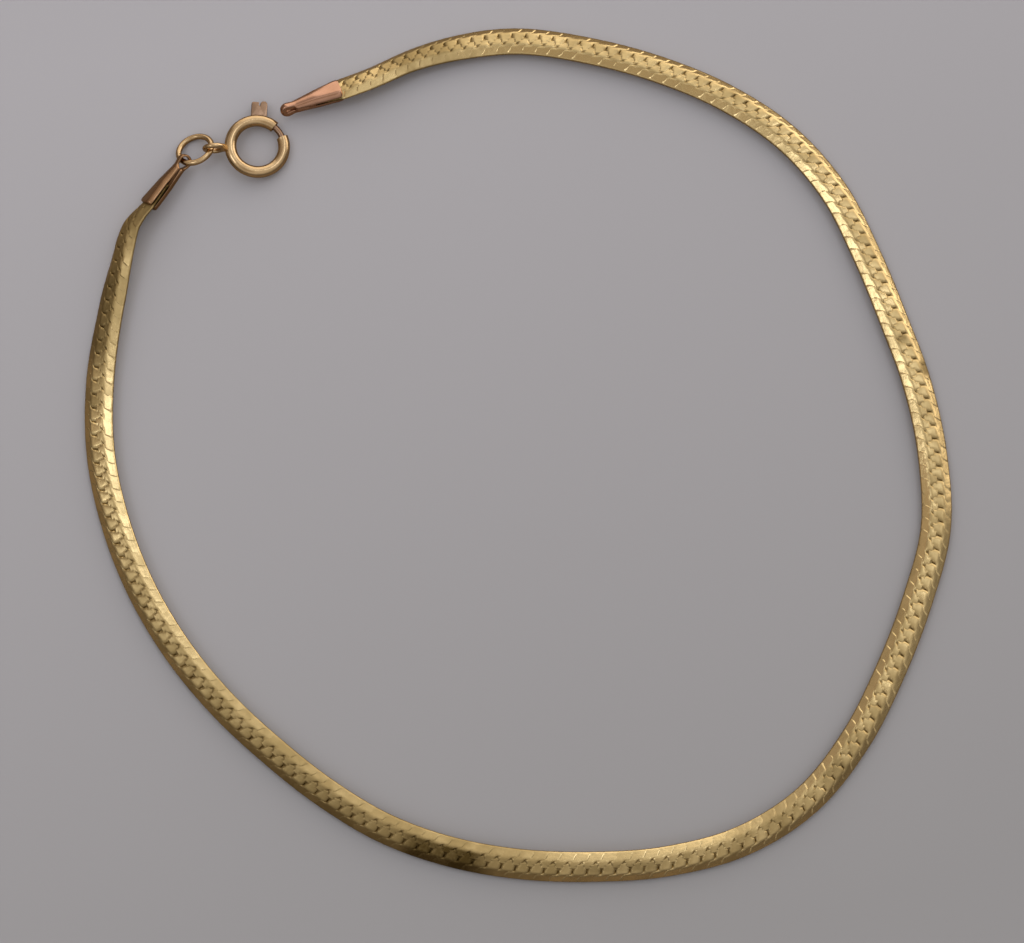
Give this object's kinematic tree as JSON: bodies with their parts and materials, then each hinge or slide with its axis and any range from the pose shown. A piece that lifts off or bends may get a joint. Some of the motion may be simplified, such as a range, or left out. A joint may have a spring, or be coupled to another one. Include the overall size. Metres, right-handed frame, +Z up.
{
  "type": "chain bracelet",
  "caption": "Flat bevelled gold chain bracelet, unfastened and lying in an open loop, with folded end tags, a jump ring and a spring ring clasp with a thumb lever.",
  "frame": {"origin": "on the surface, under the middle of the whole laid-out bracelet", "axes": "+Z up from the surface, +Y towards the clasp side of the loop, +X to the right as the loop is seen from above"},
  "size_m": [0.0652, 0.0654, 0.0021],
  "materials": {
    "chain_gold": "polished links, slightly tarnished",
    "tag_gold": "polished, rosy",
    "clasp_gold": "polished"
  },
  "bodies": {
    "bracelet": {"chain": "chain_gold", "free_end_tag": "tag_gold", "clasp_end_tag": "tag_gold", "jump_ring": "clasp_gold", "spring_ring": "clasp_gold"},
    "bolt": {"bolt_lever": "clasp_gold"}
  },
  "joints": [
    {"name": "bolt_slide", "type": "hinge", "parent": "bracelet", "child": "bolt", "pos_m": [-0.0199, 0.02314, 0.00074], "axis": [0.1397, 0.0122, 0.9901], "range_deg": [0, 35], "stiffness_Nm_per_rad": 0.002, "springref_deg": -34.38}
  ]
}
